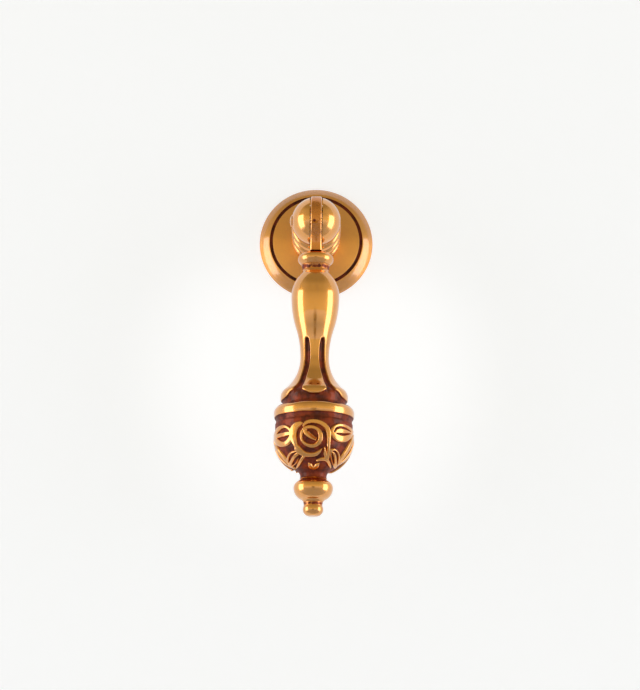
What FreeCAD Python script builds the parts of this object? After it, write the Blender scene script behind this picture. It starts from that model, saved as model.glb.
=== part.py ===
import FreeCAD, Part
import math
import os

import Sketcher

# Drop pull for a small drawer or door: a turned rosette, a post that ends in a slotted ball, a riveted pin
# through the ball, and a cast drop handle that hangs on that pin.
# Frame: origin at the centre of the rosette's back, +Z up, +Y into the drawer front, the pull faces -Y.

FULL_TURN = 360
TOLERANCE = 1e-6

doc = FreeCAD.newDocument("DropPull")
sheet = doc.addObject("Spreadsheet::Sheet", "Sizes")


class Size:
    """A size with its value and the sheet expression that gives it, so that sums of sizes stay bound."""

    def __init__(self, text, value):
        self.text = text
        self.value = value

    def combine(self, other, sign, result):
        return Size(f"({self.text} {sign} {as_size(other).text})", result)

    def __add__(self, other):
        return self.combine(other, "+", self.value + as_size(other).value)

    def __sub__(self, other):
        return self.combine(other, "-", self.value - as_size(other).value)

    def __mul__(self, other):
        return self.combine(other, "*", self.value * as_size(other).value)

    def __truediv__(self, other):
        return self.combine(other, "/", self.value / as_size(other).value)

    def __neg__(self):
        return Size(f"(-{self.text})", -self.value)


def as_size(number):
    return number if isinstance(number, Size) else Size(str(number), number)


def root(size):
    return Size(f"sqrt({size.text})", math.sqrt(size.value))


def sine(angle):
    return Size(f"sin({angle.text})", math.sin(math.radians(angle.value)))


def cosine(angle):
    return Size(f"cos({angle.text})", math.cos(math.radians(angle.value)))


def driving(name, value, meaning):
    """Writes one driving dimension into the sheet: its meaning, its value and the value's alias."""
    driving.row += 1
    sheet.set(f"A{driving.row}", meaning)
    sheet.set(f"B{driving.row}", str(value))
    sheet.setAlias(f"B{driving.row}", name)
    return Size(f"Sizes.{name}", value)


driving.row = 0

# Rosette. Heights are measured from its back, towards the viewer.
plate_diameter = driving("plate_diameter", 28, "Rosette, widest diameter")
plate_undercut = driving("plate_undercut", 0.6, "How far the rosette's foot lies inside its widest edge")
plate_edge_height = driving("plate_edge_height", 1.0, "Height of the widest edge")
plate_height = driving("plate_height", 3.4, "Height of the front face at the groove")
plate_centre_height = driving("plate_centre_height", 3.65, "Height of the seat under the post")
groove_inset = driving("groove_inset", 2.93, "Turned groove, from the widest edge to its middle")
groove_width = driving("groove_width", 0.75, "Turned groove, width")
groove_depth = driving("groove_depth", 0.5, "Turned groove, depth")
dish_land = driving("dish_land", 2.2, "Land round the hollow of the back, width")
dish_depth = driving("dish_depth", 1.4, "Hollow of the back, depth")
boss_wall = driving("boss_wall", 1.95, "Boss round the post's hole, wall")
draft_run = driving("draft_run", 0.3, "Draft of the hollow's walls")

# Post: a spigot through the rosette, three beads of one diameter with coves between, and the ball.
spigot_diameter = driving("spigot_diameter", 6, "Spigot through the rosette, diameter")
spigot_clearance = driving("spigot_clearance", 0.05, "Spigot in the rosette, radial clearance")
seat_diameter = driving("seat_diameter", 10.6, "Post's seat on the rosette, diameter")
bead_diameter = driving("bead_diameter", 12, "Beads of the post, diameter")
stem_cove_diameter = driving("stem_cove_diameter", 9.2, "Coves between the beads, diameter")
base_bead_height = driving("base_bead_height", 5.0, "First bead, height above the back")
bead_pitch = driving("bead_pitch", 4.8, "Distance from bead to bead")
pivot_height = driving("pivot_height", 20.3, "Pin's axis, height above the back")
ball_diameter = driving("ball_diameter", 11.9, "Ball, diameter")
ball_neck_diameter = driving("ball_neck_diameter", 8.2, "Valley between the ball and the last bead")
screw_core_diameter = driving("screw_core_diameter", 3.3, "Tapped hole for an M4 screw, core diameter")
screw_hole_depth = driving("screw_hole_depth", 9, "Tapped hole, depth")
drill_angle = driving("drill_angle", 118, "Drill point, included angle")
cutter_overrun = driving("cutter_overrun", 2, "How far a cut across runs past the surface")

# Hinge: the drop's tang in the ball's slot, on a riveted pin.
tang_thickness = driving("tang_thickness", 2.7, "Tang of the drop, thickness")
tang_proud = driving("tang_proud", 0.15, "How far the tang's round end stands out of the ball")
tang_back = driving("tang_back", 2.7, "Tang's root, from the pin's axis to its back")
tang_front = driving("tang_front", 4.1, "Tang's root, from the pin's axis to its front")
tang_edge_break = driving("tang_edge_break", 0.3, "Chamfer along the tang's edges")
side_play = driving("side_play", 0.2, "Play on each side of the tang")
slot_floor_play = driving("slot_floor_play", 0.25, "Play behind the tang's round end")
pin_diameter = driving("pin_diameter", 2.4, "Pin, diameter")
pin_running_clearance = driving("pin_running_clearance", 0.06, "Pin in the tang, radial clearance")
pin_head_diameter = driving("pin_head_diameter", 3.0, "Rivet head, diameter")
pin_head_height = driving("pin_head_height", 0.8, "Rivet head, height")
pin_head_proud = driving("pin_head_proud", 0.4, "Rivet head, how far it stands out of the ball")
pin_end_inset = driving("pin_end_inset", 0.2, "Pin's plain end, how far it lies inside the ball")
pin_end_break = driving("pin_end_break", 0.2, "Chamfer on the pin's plain end")
head_seat_clearance = driving("head_seat_clearance", 0.05, "Spot face round the rivet head, clearance")

# Drop: its widest and narrowest places from the top down. Each height is measured from the place before, and
# each bend is the share that the upper of two arcs has of the way down to the next place.
collar_gap = driving("collar_gap", 2.15, "Gap between the ball and the collar")
collar_rise = driving("collar_rise", 1.4, "Collar, from its top to its widest place")
collar_diameter = driving("collar_diameter", 8.62, "Collar, diameter")
collar_bend = driving("collar_bend", 0.45, "Bend from the collar to the neck")
neck_height = driving("neck_height", 2.5, "From the collar to the neck")
neck_diameter = driving("neck_diameter", 6.3, "Neck under the collar, diameter")
neck_bend = driving("neck_bend", 0.15, "Bend from the neck to the belly")
belly_height = driving("belly_height", 6.9, "From the neck to the belly")
belly_diameter = driving("belly_diameter", 11.5, "Belly, diameter")
belly_bend = driving("belly_bend", 0.525, "Bend from the belly to the waist")
shaft_height = driving("shaft_height", 14.8, "From the belly to the waist")
waist_diameter = driving("waist_diameter", 6.84, "Waist, diameter")
waist_bend = driving("waist_bend", 0.82, "Bend from the waist to the toes")
flare_height = driving("flare_height", 9.7, "From the waist to the toes")
toe_diameter = driving("toe_diameter", 16.04, "Feet, diameter over opposite toes")
skirt_height = driving("skirt_height", 1.6, "From the toes to the foot of the skirt")
skirt_inset = driving("skirt_inset", 0.17, "How far the skirt lies inside the toes")
skirt_bend = driving("skirt_bend", 0.33, "Bend from the skirt to the ring bead")
ring_height = driving("ring_height", 2.3, "From the skirt to the ring bead")
ring_diameter = driving("ring_diameter", 19.08, "Ring bead, diameter")
ring_bend = driving("ring_bend", 0.35, "Bend from the ring bead to the cove")
cove_height = driving("cove_height", 2.4, "From the ring bead to the cove")
cove_diameter = driving("cove_diameter", 18.1, "Cove under the ring bead, diameter")
cove_bend = driving("cove_bend", 0.5, "Bend from the cove to the urn")
urn_height = driving("urn_height", 3.8, "From the cove to the urn's widest place")
urn_diameter = driving("urn_diameter", 17.8, "Urn, diameter of the ground that the carving stands on")
urn_bend = driving("urn_bend", 0.82, "Bend from the urn to the finial's neck")
bowl_height = driving("bowl_height", 9.0, "From the urn's widest place to the finial's neck")
finial_neck_diameter = driving("finial_neck_diameter", 6.2, "Finial's neck, diameter")
finial_neck_bend = driving("finial_neck_bend", 0.4, "Bend from the finial's neck to the knob")
knob_height = driving("knob_height", 2.6, "From the finial's neck to the knob")
knob_diameter = driving("knob_diameter", 9.34, "Finial's knob, diameter")
knob_bend = driving("knob_bend", 0.7, "Bend from the knob to the tip's neck")
tip_neck_height = driving("tip_neck_height", 4.0, "From the knob to the tip's neck")
tip_neck_diameter = driving("tip_neck_diameter", 3.9, "Tip's neck, diameter")
tip_neck_bend = driving("tip_neck_bend", 0.5, "Bend from the tip's neck to the tip")
tip_height = driving("tip_height", 1.1, "From the tip's neck to the tip's widest place")
tip_diameter = driving("tip_diameter", 4.7, "Tip button, diameter")
tip_rounding = driving("tip_rounding", 1.6, "Tip button, rounding of its end")

# Four flutes part the lower shaft into four lobes, each of which ends in a spreading foot.
flute_rise = driving("flute_rise", 3.1, "Flutes, from the waist up to their ends")
flute_run_in = driving("flute_run_in", 2, "Flutes, length of their rounded ends")
flute_angle = driving("flute_angle", 31, "Flutes, angle from the front or the back")
flute_width = driving("flute_width", 1.5, "Flutes, width on the shaft")
flute_depth = driving("flute_depth", 0.65, "Flutes, depth on the shaft")
web_angle = driving("web_angle", 37, "Webs between the feet, angle from the front or the back")
web_width = driving("web_width", 4.6, "Webs between the feet, width")
web_depth = driving("web_depth", 1.4, "Webs between the feet, depth")
calf_place = driving("calf_place", 0.6, "Calf, share of the way from the waist to the ankle")
calf_opening = driving("calf_opening", 0.25, "Calf, how far the flute has opened into the web")
ankle_opening = driving("ankle_opening", 0.75, "Ankle, how far the flute has opened into the web")

pivot_y = -pivot_height


class Outline:
    """A closed profile in a sketch on one of the body's origin planes. Its corners are held by their two
    distances from the origin, and each arc by the level of its centre, all bound to the sheet. An arc's
    own start is the end from which it runs anticlockwise, so points keeps which end comes first."""

    def __init__(self, body, name, plane, x, y):
        self.sketch = attached_sketch(body, name, plane)
        self.corners = [(as_size(x), as_size(y))]
        self.edges = []
        self.points = []

    def vector(self, corner):
        return FreeCAD.Vector(corner[0].value, corner[1].value, 0)

    def hold(self, kind, edge, point, size):
        index = self.sketch.addConstraint(Sketcher.Constraint(kind, -1, 1, edge, point, size.value))
        self.sketch.setExpression(f"Constraints[{index}]", size.text)

    def line(self, x, y):
        start = self.corners[-1]
        end = (as_size(x), as_size(y))
        self.corners.append(end)
        self.edges.append(self.sketch.addGeometry(Part.LineSegment(self.vector(start), self.vector(end))))
        self.points.append((1, 2))

    def arc(self, x, y, centre_y):
        """An arc to the corner x, y whose centre is level with centre_y."""
        start = self.corners[-1]
        end = (as_size(x), as_size(y))
        level = as_size(centre_y)
        self.corners.append(end)
        first = self.vector(start)
        last = self.vector(end)
        squares = first.x**2 - last.x**2 + (first.y - level.value) ** 2 - (last.y - level.value) ** 2
        centre = FreeCAD.Vector(squares / (2 * (first.x - last.x)), level.value, 0)
        circle = Part.Circle(centre, FreeCAD.Vector(0, 0, 1), (first - centre).Length)
        leftwards = (first - centre).cross(last - centre).z > 0
        sweep = (first, last) if leftwards else (last, first)
        arc = Part.ArcOfCircle(circle, circle.parameter(sweep[0]), circle.parameter(sweep[1]))
        self.edges.append(self.sketch.addGeometry(arc))
        self.points.append((1, 2) if leftwards else (2, 1))
        self.hold("DistanceY", self.edges[-1], 3, level)

    def ogee(self, x, y, share=0.5):
        """Two tangent arcs to the corner x, y, upright at both ends. They meet on the chord, where share
        of it is the first arc's."""
        start = self.corners[-1]
        end = (as_size(x), as_size(y))
        bend_x = start[0] + (end[0] - start[0]) * share
        bend_y = start[1] + (end[1] - start[1]) * share
        self.arc(bend_x, bend_y, start[1])
        self.arc(end[0], end[1], end[1])

    def close(self):
        first = self.corners[0]
        self.line(first[0], first[1])
        self.corners.pop()
        for index, edge in enumerate(self.edges):
            start = self.points[index][0]
            end = self.points[index - 1][1]
            joint = Sketcher.Constraint("Coincident", self.edges[index - 1], end, edge, start)
            self.sketch.addConstraint(joint)
            self.hold("DistanceX", edge, start, self.corners[index][0])
            self.hold("DistanceY", edge, start, self.corners[index][1])
        return self.sketch


def origin_feature(body, role):
    return next(feature for feature in body.Origin.OriginFeatures if feature.Role == role)


def attached_sketch(body, name, plane):
    sketch = body.newObject("Sketcher::SketchObject", name)
    sketch.AttachmentSupport = (origin_feature(body, plane), "")
    sketch.MapMode = "FlatFace"
    return sketch


def circle_sketch(body, name, plane, x, y, radius):
    """A sketch with one circle, its centre and radius bound to the sheet."""
    sketch = attached_sketch(body, name, plane)
    centre = FreeCAD.Vector(as_size(x).value, as_size(y).value, 0)
    circle = sketch.addGeometry(Part.Circle(centre, FreeCAD.Vector(0, 0, 1), radius.value))
    for kind, size in (("DistanceX", as_size(x)), ("DistanceY", as_size(y))):
        index = sketch.addConstraint(Sketcher.Constraint(kind, -1, 1, circle, 3, size.value))
        sketch.setExpression(f"Constraints[{index}]", size.text)
    index = sketch.addConstraint(Sketcher.Constraint("Radius", circle, radius.value))
    sketch.setExpression(f"Constraints[{index}]", radius.text)
    return sketch


def new_body(name, label):
    body = doc.addObject("PartDesign::Body", name)
    body.Label = label
    return body


def revolved(body, name, sketch, axis):
    turned = body.newObject("PartDesign::Revolution", name)
    turned.Profile = sketch
    turned.ReferenceAxis = (sketch, [axis])
    turned.Angle = FULL_TURN
    return turned


def across(body, kind, name, sketch, length):
    """A pad or pocket that reaches equally far to both sides of its sketch."""
    feature = body.newObject(f"PartDesign::{kind}", name)
    feature.Profile = sketch
    feature.SideType = "Symmetric"
    feature.setExpression("Length", length.text)
    return feature


def cut_checked(feature, base):
    """Recomputes and makes sure that the feature has taken material away from the one before it."""
    doc.recompute()
    if not feature.Shape.Volume < base.Shape.Volume - TOLERANCE:
        raise RuntimeError(f"{feature.Name} removes nothing from {base.Name}")


# Rosette: a shallow cast disc turned on the front, with a bevelled rim, a groove inside it and a hollow back
# that leaves a boss round the post's hole and a land round the edge.
backplate = new_body("Backplate", "backplate")
bore_radius = spigot_diameter / 2 + spigot_clearance
boss_radius = bore_radius + boss_wall
plate_radius = plate_diameter / 2
foot_radius = plate_radius - plate_undercut
dish_radius = foot_radius - dish_land
groove_floor = -(plate_height - groove_depth)
groove_outer = plate_radius - groove_inset + groove_width / 2
groove_inner = plate_radius - groove_inset - groove_width / 2
plate = Outline(backplate, "PlateOutline", "XY_Plane", bore_radius, 0)
plate.line(boss_radius, 0)
plate.line(boss_radius + draft_run, -dish_depth)
plate.line(dish_radius - draft_run, -dish_depth)
plate.line(dish_radius, 0)
plate.line(foot_radius, 0)
plate.arc(plate_radius, -plate_edge_height, -plate_edge_height)
plate.line(groove_outer, -plate_height)
plate.line(groove_outer, groove_floor)
plate.line(groove_inner, groove_floor)
plate.line(groove_inner, -plate_height)
plate.line(seat_diameter / 2, -plate_centre_height)
plate.line(bore_radius, -plate_centre_height)
revolved(backplate, "PlateTurned", plate.close(), "V_Axis")

# Post: turned in one piece. The spigot goes through the rosette and ends flush with its back, where the screw
# enters; the ball is slotted for the drop and drilled across for the pin.
pivot_post = new_body("PivotPost", "pivot_post")
ball_radius = ball_diameter / 2
bead_radius = bead_diameter / 2
stem_cove_radius = stem_cove_diameter / 2
half_pitch = bead_pitch / 2
first_bead = -base_bead_height
second_bead = first_bead - bead_pitch
third_bead = second_bead - bead_pitch
ball_neck_radius = ball_neck_diameter / 2
ball_neck_y = pivot_y + root(ball_radius * ball_radius - ball_neck_radius * ball_neck_radius)
post = Outline(pivot_post, "PostOutline", "XY_Plane", 0, 0)
post.line(spigot_diameter / 2, 0)
post.line(spigot_diameter / 2, -plate_centre_height)
post.line(seat_diameter / 2, -plate_centre_height)
post.arc(bead_radius, first_bead, first_bead)
post.ogee(stem_cove_radius, first_bead - half_pitch)
post.ogee(bead_radius, second_bead)
post.ogee(stem_cove_radius, second_bead - half_pitch)
post.ogee(bead_radius, third_bead)
post.arc(ball_neck_radius, ball_neck_y, third_bead)
post.arc(0, pivot_y - ball_radius, pivot_y)
turned_post = revolved(pivot_post, "PostTurned", post.close(), "V_Axis")
doc.recompute()

screw_sketch = circle_sketch(pivot_post, "ScrewCircle", "XZ_Plane", 0, 0, screw_core_diameter / 2)
screw_hole = pivot_post.newObject("PartDesign::Hole", "ScrewHole")
screw_hole.Profile = screw_sketch
doc.recompute()
screw_hole.DepthType = "Dimension"
screw_hole.DrillPoint = "Angled"
screw_hole.Reversed = True
screw_hole.setExpression("Diameter", screw_core_diameter.text)
screw_hole.setExpression("Depth", screw_hole_depth.text)
screw_hole.setExpression("DrillPointAngle", drill_angle.text)
cut_checked(screw_hole, turned_post)

slot_width = tang_thickness + side_play * 2
tang_radius = ball_radius + tang_proud
slot_radius = tang_radius + slot_floor_play
slot_sketch = circle_sketch(pivot_post, "SlotCircle", "YZ_Plane", pivot_y, 0, slot_radius)
slot = across(pivot_post, "Pocket", "Slot", slot_sketch, slot_width)
cut_checked(slot, screw_hole)

pin_radius = pin_diameter / 2
pin_hole_sketch = circle_sketch(pivot_post, "PinHoleCircle", "YZ_Plane", pivot_y, 0, pin_radius)
pin_hole = across(pivot_post, "Pocket", "PinHole", pin_hole_sketch, ball_diameter + cutter_overrun * 2)
cut_checked(pin_hole, slot)

# The rivet head sits on a spot face, sunk so far that only its crown stands out of the ball.
head_base = ball_radius + pin_head_proud - pin_head_height
spot_radius = pin_head_diameter / 2 + head_seat_clearance
spot_sketch = circle_sketch(pivot_post, "SpotCircle", "YZ_Plane", pivot_y, 0, spot_radius)
spot_sketch.setExpression("AttachmentOffset.Base.z", (-head_base).text)
spot_face = pivot_post.newObject("PartDesign::Pocket", "SpotFace")
spot_face.Profile = spot_sketch
spot_face.Type = "ThroughAll"
cut_checked(spot_face, pin_hole)

# Pin: a plain rivet, pressed into both cheeks of the ball, with a low round head on the left.
pivot_pin = new_body("PivotPin", "pivot_pin")
pivot_pin.setExpression("Placement.Base.y", pivot_y.text)
pin_end = ball_radius - pin_end_inset
head_crown = head_base + pin_head_height
head_shoulder = head_base + pin_head_height / 2
pin = Outline(pivot_pin, "PinOutline", "XY_Plane", -head_crown, 0)
pin.arc(-head_shoulder, pin_head_diameter / 2, 0)
pin.line(-head_base, pin_head_diameter / 2)
pin.line(-head_base, pin_radius)
pin.line(pin_end - pin_end_break, pin_radius)
pin.line(pin_end, pin_radius - pin_end_break)
pin.line(pin_end, 0)
revolved(pivot_pin, "PinTurned", pin.close(), "H_Axis")

# Drop: one casting, modelled about the pin's axis. The tang comes first, with its edges broken. Its root is
# slim behind, where it passes the post's last bead as the drop swings back, and stouter in front.
drop = new_body("Drop", "drop_pendant")
drop.setExpression("Placement.Base.y", pivot_y.text)
collar_top_drop = ball_radius + collar_gap
collar_drop = collar_top_drop + collar_rise
front_shoulder = -root(tang_radius * tang_radius - tang_front * tang_front)
back_shoulder = -root(tang_radius * tang_radius - tang_back * tang_back)
tang_outline = Outline(drop, "TangOutline", "YZ_Plane", -tang_front, -collar_drop)
tang_outline.line(-tang_front, front_shoulder)
tang_outline.arc(0, tang_radius, 0)
tang_outline.arc(tang_back, back_shoulder, 0)
tang_outline.line(tang_back, -collar_drop)
tang = across(drop, "Pad", "Tang", tang_outline.close(), tang_thickness)
doc.recompute()

side = tang_thickness.value / 2


def on_tang_side(edge):
    return all(abs(abs(corner.X) - side) < TOLERANCE for corner in edge.Vertexes) and (
        edge.BoundBox.XLength < TOLERANCE and edge.BoundBox.ZMax > -collar_top_drop.value
    )


sharp_edges = [f"Edge{number}" for number, edge in enumerate(tang.Shape.Edges, 1) if on_tang_side(edge)]
tang_break = drop.newObject("PartDesign::Chamfer", "TangBreak")
tang_break.Base = (tang, sharp_edges)
tang_break.setExpression("Size", tang_edge_break.text)
doc.recompute()

# The turned form of the drop, from the collar to the tip: a chain of ogees between its widest and its
# narrowest places. Each drop is a distance below the pin's axis.
neck_drop = collar_drop + neck_height
belly_drop = neck_drop + belly_height
waist_drop = belly_drop + shaft_height
toe_drop = waist_drop + flare_height
skirt_drop = toe_drop + skirt_height
ring_drop = skirt_drop + ring_height
cove_drop = ring_drop + cove_height
urn_drop = cove_drop + urn_height
finial_neck_drop = urn_drop + bowl_height
knob_drop = finial_neck_drop + knob_height
tip_neck_drop = knob_drop + tip_neck_height
tip_drop = tip_neck_drop + tip_height
drop_end = tip_drop + tip_rounding
waist_radius = waist_diameter / 2
toe_radius = toe_diameter / 2
skirt_radius = toe_radius - skirt_inset
turning = Outline(drop, "DropOutline", "XZ_Plane", 0, -collar_top_drop)
turning.line(collar_diameter / 2 - collar_rise, -collar_top_drop)
turning.arc(collar_diameter / 2, -collar_drop, -collar_drop)
turning.ogee(neck_diameter / 2, -neck_drop, collar_bend)
turning.ogee(belly_diameter / 2, -belly_drop, neck_bend)
turning.ogee(waist_radius, -waist_drop, belly_bend)
turning.ogee(toe_radius, -toe_drop, waist_bend)
turning.arc(skirt_radius, -skirt_drop, -toe_drop)
turning.ogee(ring_diameter / 2, -ring_drop, skirt_bend)
turning.ogee(cove_diameter / 2, -cove_drop, ring_bend)
turning.ogee(urn_diameter / 2, -urn_drop, cove_bend)
turning.ogee(finial_neck_diameter / 2, -finial_neck_drop, urn_bend)
turning.ogee(knob_diameter / 2, -knob_drop, finial_neck_bend)
turning.ogee(tip_neck_diameter / 2, -tip_neck_drop, knob_bend)
turning.ogee(tip_diameter / 2, -tip_drop, tip_neck_bend)
turning.arc(tip_diameter / 2 - tip_rounding, -drop_end, -tip_drop)
turning.line(0, -drop_end)
turned_drop = turning.close()
whole_drop = revolved(drop, "DropTurned", turned_drop, "V_Axis")
doc.recompute()

# Flutes: one loft of circles follows the flare of the shaft from above the waist, opens out into the web
# between two feet and runs out on the skirt; it is mirrored to the other three corners. The flare is the
# waist's long arc, down to the ankle.
ankle_reach = (toe_radius - waist_radius) * waist_bend
ankle_fall = flare_height * waist_bend
flare_radius = (ankle_reach * ankle_reach + ankle_fall * ankle_fall) / (ankle_reach * 2)


def flare_at(below_waist):
    """Radius of the turned form at a distance below the waist, on the flare."""
    return waist_radius + flare_radius - root(flare_radius * flare_radius - below_waist * below_waist)


def flute_section(name, place, floor, width, opening):
    """A circle of the flute at a drop below the pin, touching the floor radius there. opening goes from 0 at
    the flute's angle to 1 at the web's."""
    angle = flute_angle + (web_angle - flute_angle) * opening
    reach = floor + width / 2
    sketch = circle_sketch(drop, name, "XY_Plane", reach * sine(angle), -(reach * cosine(angle)), width / 2)
    sketch.setExpression("AttachmentOffset.Base.z", (-place).text)
    return sketch


def opened(closed_size, open_size, opening):
    return closed_size + (open_size - closed_size) * opening


flute_top = waist_drop - flute_rise
calf_fall = ankle_fall * calf_place
calf_floor = flare_at(calf_fall) - opened(flute_depth, web_depth, calf_opening)
calf_width = opened(flute_width, web_width, calf_opening)
ankle_drop = waist_drop + ankle_fall
ankle_floor = flare_at(ankle_fall) - web_depth
ankle_width = opened(flute_width, web_width, ankle_opening)
shaft_floor = waist_radius - flute_depth
flute_sections = [
    flute_section("FluteTop", flute_top, waist_radius + flute_depth / 2, flute_width, 0),
    flute_section("FluteRunIn", flute_top + flute_run_in, shaft_floor, flute_width, 0),
    flute_section("FluteWaist", waist_drop + flute_run_in / 2, shaft_floor, flute_width, 0),
    flute_section("FluteCalf", waist_drop + calf_fall, calf_floor, calf_width, calf_opening),
    flute_section("FluteAnkle", ankle_drop, ankle_floor, ankle_width, ankle_opening),
    flute_section("WebToe", toe_drop, toe_radius - web_depth, web_width, 1),
    flute_section("WebEnd", skirt_drop, skirt_radius, web_width, 1),
]
flute = drop.newObject("PartDesign::SubtractiveLoft", "Flute")
flute.Profile = flute_sections[0]
flute.Sections = flute_sections[1:]
cut_checked(flute, whole_drop)

flutes = drop.newObject("PartDesign::MultiTransform", "Flutes")
side_to_side = drop.newObject("PartDesign::Mirrored", "SideToSide")
front_to_back = drop.newObject("PartDesign::Mirrored", "FrontToBack")
side_to_side.MirrorPlane = (turned_drop, ["V_Axis"])
front_to_back.MirrorPlane = (turned_drop, [""])
flutes.Originals = [flute]
flutes.Transformations = [side_to_side, front_to_back]
drop.Tip = flutes
cut_checked(flutes, flute)

tang_bore_sketch = circle_sketch(drop, "TangBoreCircle", "YZ_Plane", 0, 0, pin_radius + pin_running_clearance)
tang_bore = across(drop, "Pocket", "TangBore", tang_bore_sketch, tang_thickness + cutter_overrun * 2)
cut_checked(tang_bore, flutes)

for document_object in doc.Objects:
    if "Invalid" in document_object.State or "Error" in document_object.State:
        raise RuntimeError(f"{document_object.Name} is {document_object.State}")

os.makedirs("parts", exist_ok=True)
for body in doc.findObjects("PartDesign::Body"):
    if body.Shape.isNull() or not body.Shape.isValid():
        raise RuntimeError(f"{body.Label} has no valid shape")
    body.Shape.exportStep(os.path.join("parts", body.Label + ".step"))
    print(body.Label, round(body.Shape.Volume, 2), "mm3", len(body.Shape.Solids), "solid")
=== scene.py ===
import math

import bmesh
import bpy
import numpy as np
from mathutils import Matrix, Vector


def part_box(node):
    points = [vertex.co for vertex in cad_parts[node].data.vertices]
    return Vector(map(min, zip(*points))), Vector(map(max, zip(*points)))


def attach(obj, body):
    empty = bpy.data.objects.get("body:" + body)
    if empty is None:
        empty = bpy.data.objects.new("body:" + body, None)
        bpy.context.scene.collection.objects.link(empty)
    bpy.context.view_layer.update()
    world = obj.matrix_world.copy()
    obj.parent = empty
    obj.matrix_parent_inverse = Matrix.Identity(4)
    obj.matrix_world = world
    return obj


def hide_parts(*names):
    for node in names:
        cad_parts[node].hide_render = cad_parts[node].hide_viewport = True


# Drop pull in aged brass, in metres: origin at the centre of the rosette's back, +Z up, +Y into the drawer
# front. It is put together from the drawer front outwards: rosette, post with its slotted ball, rivet, drop.
MM = 0.001
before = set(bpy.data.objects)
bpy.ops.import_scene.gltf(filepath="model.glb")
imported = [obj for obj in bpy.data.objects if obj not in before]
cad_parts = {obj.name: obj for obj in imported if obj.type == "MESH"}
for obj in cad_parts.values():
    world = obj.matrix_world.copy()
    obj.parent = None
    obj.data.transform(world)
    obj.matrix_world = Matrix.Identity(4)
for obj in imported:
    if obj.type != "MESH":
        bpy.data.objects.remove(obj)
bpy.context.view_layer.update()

# Rosette: a shallow cast disc, turned and polished on the front, with a bevelled rim and a narrow groove
# that keeps the dark lacquer of the aged finish. The post's screw clamps it to the drawer front.
plate_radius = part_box("backplate")[1][0]
plate_thickness = -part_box("backplate")[0][1]
plate_face = plate_thickness - 0.25 * MM
plate_edge = 1.0 * MM
plate_undercut = 0.6 * MM
bevel_centre = -3.2 * MM
groove_middle = plate_radius - 2.93 * MM
groove_half = 0.36 * MM
groove_depth = 0.5 * MM
lacquer_margin = 0.02 * MM
plate_bore = 3.05 * MM
boss_radius = 5.0 * MM
boss_draft = 0.3 * MM
dish_radius = plate_radius - 2.8 * MM
dish_depth = 1.4 * MM
plate_steps = 264
edge_break = 0.1 * MM
wide_steps = 0.4 * MM
weld_distance = 0.001 * MM


def start_outline(radius, height):
    """Starts the outline of a turned piece: a wire whose x is the radius and whose z runs along the axis."""
    wire = bmesh.new()
    wire.verts.new((radius, 0, height))
    return wire


def end_of(wire):
    wire.verts.ensure_lookup_table()
    return wire.verts[-1]


def line_to(wire, radius, height):
    tip = bmesh.ops.extrude_vert_indiv(wire, verts=[end_of(wire)])["verts"][0]
    tip.co = (radius, 0, height)


def arc_to(wire, radius, height, centre_height, spacing):
    """Spins the wire's end to radius, height round a centre that lies level with centre_height, with rows
    about spacing apart."""
    start = end_of(wire)
    fewest_steps = 4
    squares = start.co.x**2 - radius**2 + (start.co.z - centre_height) ** 2 - (height - centre_height) ** 2
    centre = squares / (2 * (start.co.x - radius))
    first = math.atan2(start.co.z - centre_height, start.co.x - centre)
    last = math.atan2(height - centre_height, radius - centre)
    sweep = math.remainder(last - first, math.tau)
    arc_length = abs(sweep) * math.hypot(radius - centre, height - centre_height)
    steps = max(fewest_steps, math.ceil(arc_length / spacing))
    bmesh.ops.spin(
        wire, geom=[start], cent=(centre, 0, centre_height), axis=(0, -1, 0), angle=sweep, steps=steps,
    )


def turned(wire, steps):
    """Spins an outline round the z axis into a closed skin whose faces look outwards. One sector is spun and
    then repeated, because a spin in many small steps is slow."""
    sectors = 24
    sector = math.tau / sectors
    bmesh.ops.spin(
        wire, geom=wire.verts[:] + wire.edges[:], axis=(0, 0, 1), angle=sector, steps=steps // sectors,
    )
    bmesh.ops.spin(
        wire, geom=wire.verts[:] + wire.edges[:] + wire.faces[:], axis=(0, 0, 1), angle=math.tau - sector,
        steps=sectors - 1, use_duplicate=True,
    )
    bmesh.ops.remove_doubles(wire, verts=wire.verts[:], dist=weld_distance)
    bmesh.ops.recalc_face_normals(wire, faces=wire.faces[:])
    return wire


def break_edges(skin, width):
    """Rounds every sharp edge of the skin."""
    sharp_angle = math.radians(25)
    sharp = [edge for edge in skin.edges if edge.calc_face_angle(0) > sharp_angle]
    bmesh.ops.bevel(
        skin, geom=sharp, offset=width, offset_type="OFFSET", segments=3, profile=0.5,
        affect="EDGES", material=-1, clamp_overlap=True,
    )


def facing_out(skin):
    """Turns a piece whose axis is z so that its top looks out of the drawer front."""
    bmesh.ops.rotate(skin, verts=skin.verts[:], matrix=Matrix.Rotation(math.radians(90), 3, "X"))


def finished(skin, name, patina):
    """Makes the skin an object. patina gives each vertex its share of dark lacquer, from 0 to 1."""
    crease_angle = math.radians(50)
    mesh = bpy.data.meshes.new(name)
    skin.to_mesh(mesh)
    skin.free()
    mesh.shade_smooth()
    mesh.set_sharp_from_angle(angle=crease_angle)
    piece = bpy.data.objects.new(name, mesh)
    bpy.context.scene.collection.objects.link(piece)
    mesh.attributes.new("patina", "FLOAT", "POINT").data.foreach_set("value", patina)
    return piece


def places_of(skin):
    """The skin's vertices as rows of x, y, z."""
    return np.array([vert.co for vert in skin.verts])


def tinted(tone, tint):
    return tuple(part * share for part, share in zip(tone, tint))


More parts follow.
